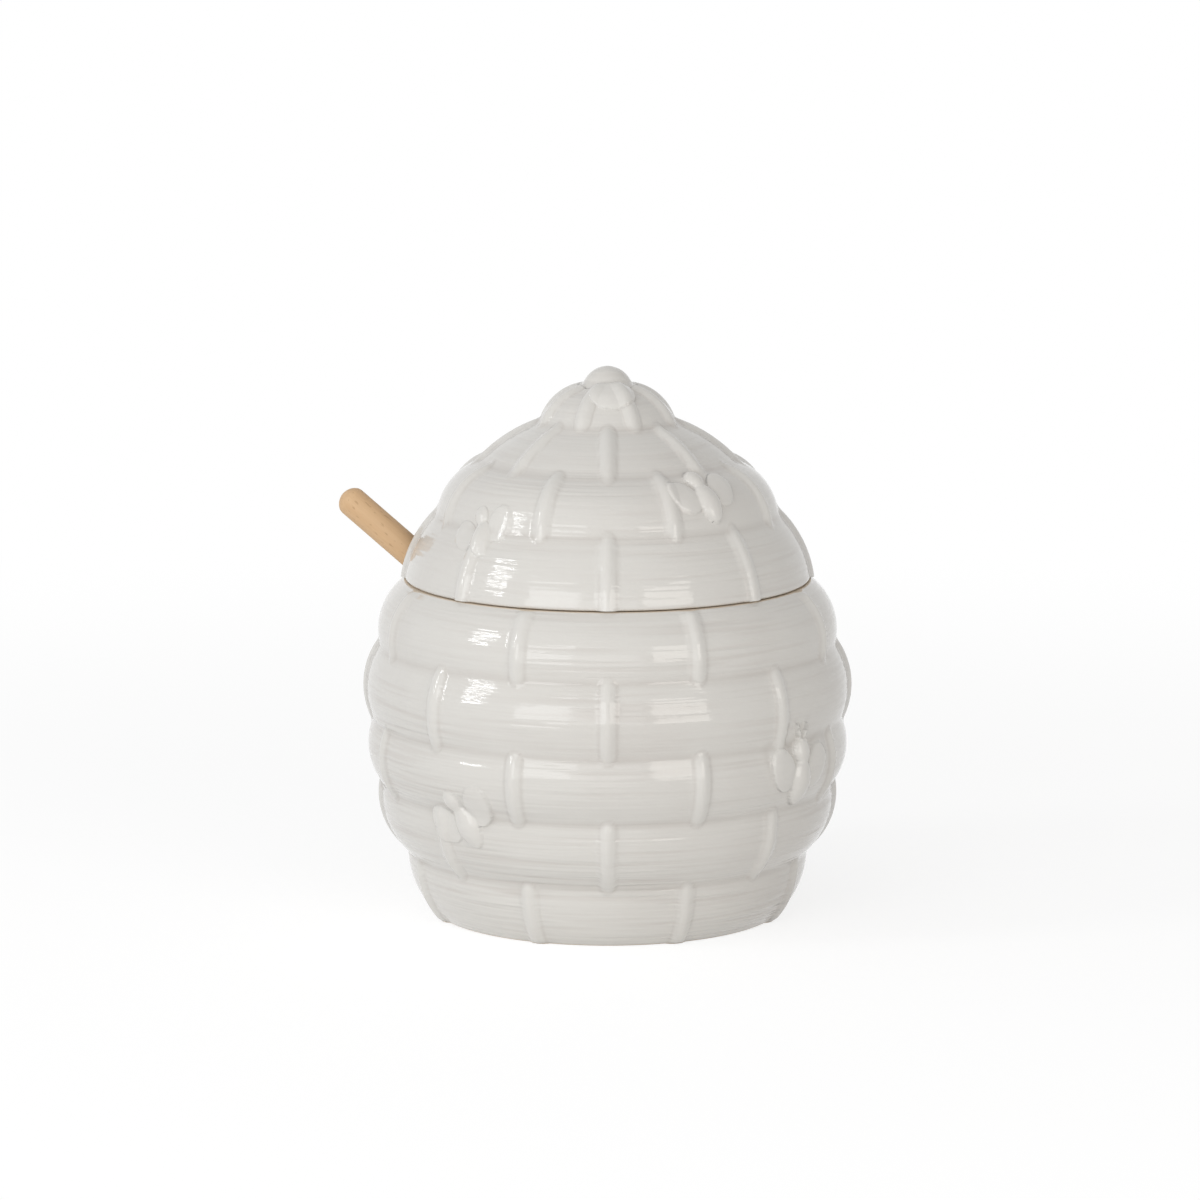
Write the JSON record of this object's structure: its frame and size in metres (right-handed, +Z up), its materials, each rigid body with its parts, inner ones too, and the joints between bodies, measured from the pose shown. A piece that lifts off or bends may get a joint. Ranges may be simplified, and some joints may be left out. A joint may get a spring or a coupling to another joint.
{
  "type": "honey pot with lift-off lid and dipper",
  "caption": "Round covered pot shaped like a woven beehive, with a notched lift-off lid and a wooden dipper leaning out through the notch.",
  "frame": {"origin": "centre of the pot's foot, on the table", "axes": "+Z up, -Y towards the viewer of the picture, the dipper leaves towards -X"},
  "size_m": [0.1339, 0.1275, 0.1429],
  "materials": {
    "glaze": "glossy off-white glaze over pale stoneware",
    "handle_wood": "plain sanded light hardwood, turned dowel",
    "head_wood": "plain sanded light hardwood, turned across grooves"
  },
  "bodies": {
    "pot": {"pot": "glaze"},
    "lid": {"lid": "glaze"},
    "dipper": {"dipper_handle": "handle_wood", "dipper_head": "head_wood"}
  },
  "joints": [
    {"name": "lid_lift", "type": "slide", "parent": "pot", "child": "lid", "axis": [0, 0, 1], "range_m": [0, 0.06]},
    {"name": "dipper_slide", "type": "slide", "parent": "pot", "child": "dipper", "axis": [-0.7557, 0.1197, 0.6439], "range_m": [0, 0.075]}
  ]
}
